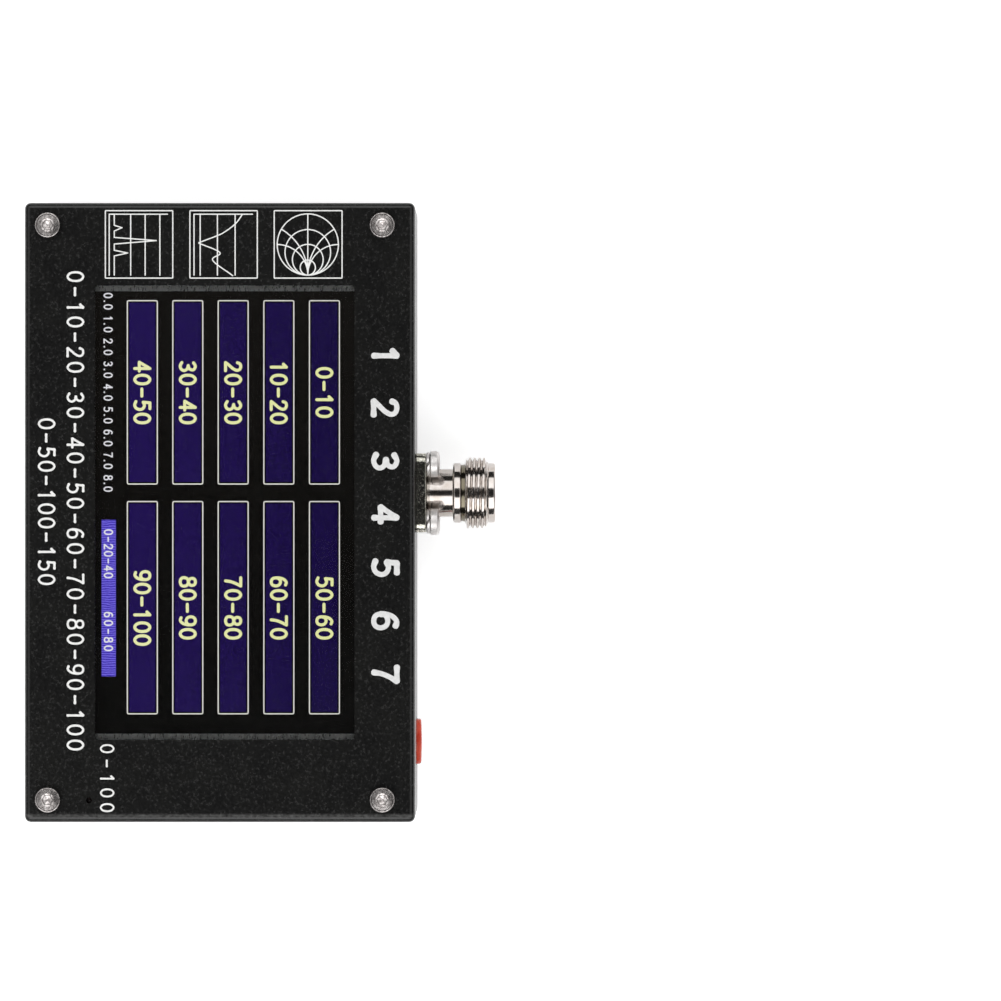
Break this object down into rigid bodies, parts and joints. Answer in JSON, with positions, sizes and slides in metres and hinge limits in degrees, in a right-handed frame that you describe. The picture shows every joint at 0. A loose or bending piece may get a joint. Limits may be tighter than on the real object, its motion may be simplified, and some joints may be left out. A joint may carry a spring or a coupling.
{
  "type": "handheld antenna analyzer",
  "caption": "Flat sheet-metal handheld antenna analyzer with a recessed touch screen, a flanged threaded coaxial socket and a latching power button on its long side.",
  "frame": {"origin": "centre of the back cover's outer face, which the device lies on", "axes": "+X right along the display, +Y towards the antenna connector, +Z out of the display"},
  "size_m": [0.1358, 0.1032, 0.0278],
  "materials": {
    "black_powder_coat": "fine-textured matt black powder coat",
    "stainless_steel": "bright turned",
    "nickel_plate": "bright nickel",
    "gold_plate": "gold flash",
    "zinc_plate": "bright zinc",
    "tinned_steel": "tinned sheet",
    "black_foam": "closed-cell foam",
    "dark_glass": "polished",
    "lcd_black": "polariser film, lit from behind",
    "board_green": "solder mask",
    "black_plastic": "moulded",
    "white_plastic": "moulded",
    "red_plastic": "glossy, slightly translucent",
    "amber_film": "polyimide film",
    "red_lamp": "clear tinted",
    "ptfe_white": "waxy white",
    "silver_foil": "pouch foil",
    "red_insulation": "wire insulation",
    "black_insulation": "wire insulation"
  },
  "bodies": {
    "housing": {"case_body": "black_powder_coat", "back_cover": "black_powder_coat", "front_screw_1": "stainless_steel", "front_screw_2": "stainless_steel", "front_screw_3": "stainless_steel", "front_screw_4": "stainless_steel", "board_pillar_1": "zinc_plate", "board_pillar_2": "zinc_plate", "board_pillar_3": "zinc_plate", "board_pillar_4": "zinc_plate", "board_screw_1": "zinc_plate", "board_screw_2": "zinc_plate", "board_screw_3": "zinc_plate", "board_screw_4": "zinc_plate", "window_gasket": "black_foam", "touch_glass": "dark_glass", "lcd_frame": "tinned_steel", "lcd_panel": "lcd_black", "display_ribbon": "amber_film", "ribbon_socket": "white_plastic", "main_board": "board_green", "processor_chip": "black_plastic", "buzzer": "black_plastic", "charge_lamp": "red_lamp", "usb_socket": "nickel_plate", "usb_tongue": "black_plastic", "card_socket": "tinned_steel", "memory_card": "black_plastic", "header_socket_left": "black_plastic", "header_socket_right": "black_plastic", "pin_header_left": "black_plastic", "pin_header_right": "black_plastic", "measuring_board": "board_green", "shield_can": "tinned_steel", "connector_shell": "nickel_plate", "connector_insulator": "ptfe_white", "connector_contact": "gold_plate", "flange_washer_1": "nickel_plate", "flange_washer_2": "nickel_plate", "flange_washer_3": "nickel_plate", "flange_washer_4": "nickel_plate", "flange_screw_1": "nickel_plate", "flange_screw_2": "nickel_plate", "flange_screw_3": "nickel_plate", "flange_screw_4": "nickel_plate", "flange_nut_1": "nickel_plate", "flange_nut_2": "nickel_plate", "flange_nut_3": "nickel_plate", "flange_nut_4": "nickel_plate", "switch_body": "black_plastic", "battery_pack": "silver_foil", "battery_pad": "black_foam", "battery_wire_positive": "red_insulation", "battery_wire_negative": "black_insulation", "battery_plug": "white_plastic", "battery_socket": "white_plastic"},
    "power_button": {"button_cap": "red_plastic", "button_plunger": "white_plastic"}
  },
  "joints": [
    {"name": "power_button_slide", "type": "slide", "parent": "housing", "child": "power_button", "axis": [0, 1, 0], "range_m": [-0.0005, 0.002]}
  ]
}
